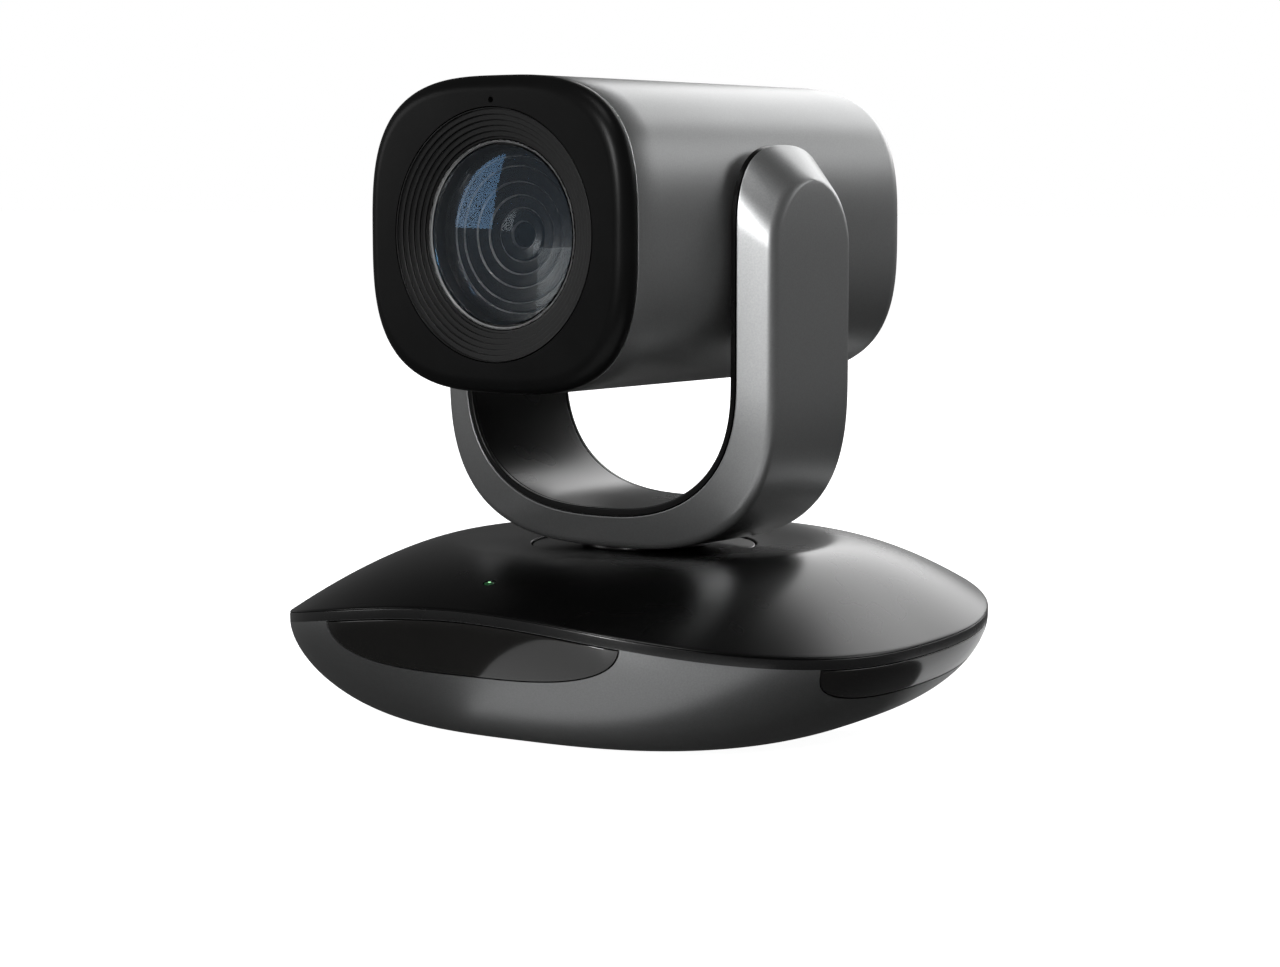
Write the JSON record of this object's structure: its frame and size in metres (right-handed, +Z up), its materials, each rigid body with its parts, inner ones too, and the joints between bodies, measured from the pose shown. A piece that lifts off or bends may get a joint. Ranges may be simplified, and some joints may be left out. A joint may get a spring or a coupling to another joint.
{
  "type": "ptz camera",
  "caption": "Desktop pan-tilt-zoom camera: rounded tubular head in a U-shaped yoke that turns on a low bowl-shaped base with smoked windows.",
  "frame": {"origin": "centre of the base's footprint, where the rubber feet stand; the pan axis passes through it", "axes": "+Z up along the pan axis, -Y the way the base's front window faces, +X to the right of someone who looks at the front"},
  "size_m": [0.1554, 0.1598, 0.1539],
  "materials": {
    "shell_grey": "satin grey paint on moulded plastic",
    "head_paint": "satin dark grey metallic paint",
    "gloss_black": "polished black plastic",
    "smoked_window": "smoked infrared-passing plastic",
    "black_plastic": "fine-textured black plastic",
    "lens_glass": "coated clear glass",
    "led": "green light pipe",
    "steel": "plain",
    "rubber": "matt",
    "brass": "turned",
    "aluminium": "satin",
    "nylon": "natural nylon",
    "circuit_board": "green solder mask"
  },
  "bodies": {
    "base": {"base_bottom_shell": "shell_grey", "base_top_cover": "gloss_black", "front_window": "smoked_window", "right_window": "smoked_window", "left_window": "smoked_window", "front_ir_receiver": "black_plastic", "right_ir_receiver": "black_plastic", "left_ir_receiver": "black_plastic", "status_led": "led", "base_weight_plate": "steel", "rubber_foot_1": "rubber", "rubber_foot_2": "rubber", "rubber_foot_3": "rubber", "rubber_foot_4": "rubber", "tripod_insert": "brass", "base_screw_1": "steel", "base_screw_2": "steel", "base_screw_3": "steel", "base_screw_4": "steel", "rear_connector_panel": "black_plastic", "dc_power_jack": "steel", "usb_port": "steel", "main_board": "circuit_board", "base_chassis": "aluminium", "pan_bearing": "steel", "pan_motor": "steel", "pan_belt": "rubber"},
    "pan_motor_rotor": {"pan_motor_pulley": "brass"},
    "yoke": {"turntable_disc": "gloss_black", "pan_spindle": "aluminium", "pan_driven_pulley": "nylon", "yoke_frame": "steel", "yoke_outer_cover": "shell_grey", "yoke_inner_cover": "gloss_black", "left_trunnion": "steel", "right_trunnion": "steel", "tilt_fixed_pulley": "nylon"},
    "head": {"front_bezel": "black_plastic", "baffle_ring": "black_plastic", "front_glass": "lens_glass", "lens_barrel": "black_plastic", "front_lens_group": "lens_glass", "lens_guide_rod_1": "steel", "lens_guide_rod_2": "steel", "zoom_motor": "steel", "focus_motor": "steel", "sensor_board": "circuit_board", "head_shell": "head_paint", "rear_cover": "black_plastic", "rear_screw_1": "steel", "rear_screw_2": "steel", "head_chassis": "aluminium", "left_tilt_bush": "brass", "right_tilt_bush": "brass", "tilt_motor": "steel", "tilt_belt": "rubber", "microphone": "steel"},
    "tilt_motor_rotor": {"tilt_motor_pulley": "brass"},
    "zoom_group": {"zoom_lens_group": "black_plastic"},
    "focus_group": {"focus_lens_group": "black_plastic"}
  },
  "joints": [
    {"name": "pan", "type": "hinge", "parent": "base", "child": "yoke", "pos_m": [0, 0, 0.042], "axis": [0, 0, 1], "range_deg": [-165, 170]},
    {"name": "pan_motor_spin", "type": "hinge", "parent": "base", "child": "pan_motor_rotor", "pos_m": [0.04, 0, 0.0325], "axis": [0, 0, 1], "range_deg": [-560, 575]},
    {"name": "tilt", "type": "hinge", "parent": "yoke", "child": "head", "pos_m": [0, 0, 0.1179], "axis": [-0.9959, 0.0906, 0], "range_deg": [-30, 30]},
    {"name": "tilt_motor_spin", "type": "hinge", "parent": "head", "child": "tilt_motor_rotor", "pos_m": [0.00326, 0.03585, 0.1099], "axis": [-0.9959, 0.0906, 0], "range_deg": [-75, 75]},
    {"name": "zoom", "type": "slide", "parent": "head", "child": "zoom_group", "axis": [-0.0906, -0.9959, 0], "range_m": [-0.012, 0.005]},
    {"name": "focus", "type": "slide", "parent": "head", "child": "focus_group", "axis": [-0.0906, -0.9959, 0], "range_m": [-0.003, 0.003]}
  ],
  "couplings": [
    {"joint": "pan_motor_spin", "follows": "pan", "ratio": 3.3333},
    {"joint": "tilt_motor_spin", "follows": "tilt", "ratio": -2.4}
  ]
}
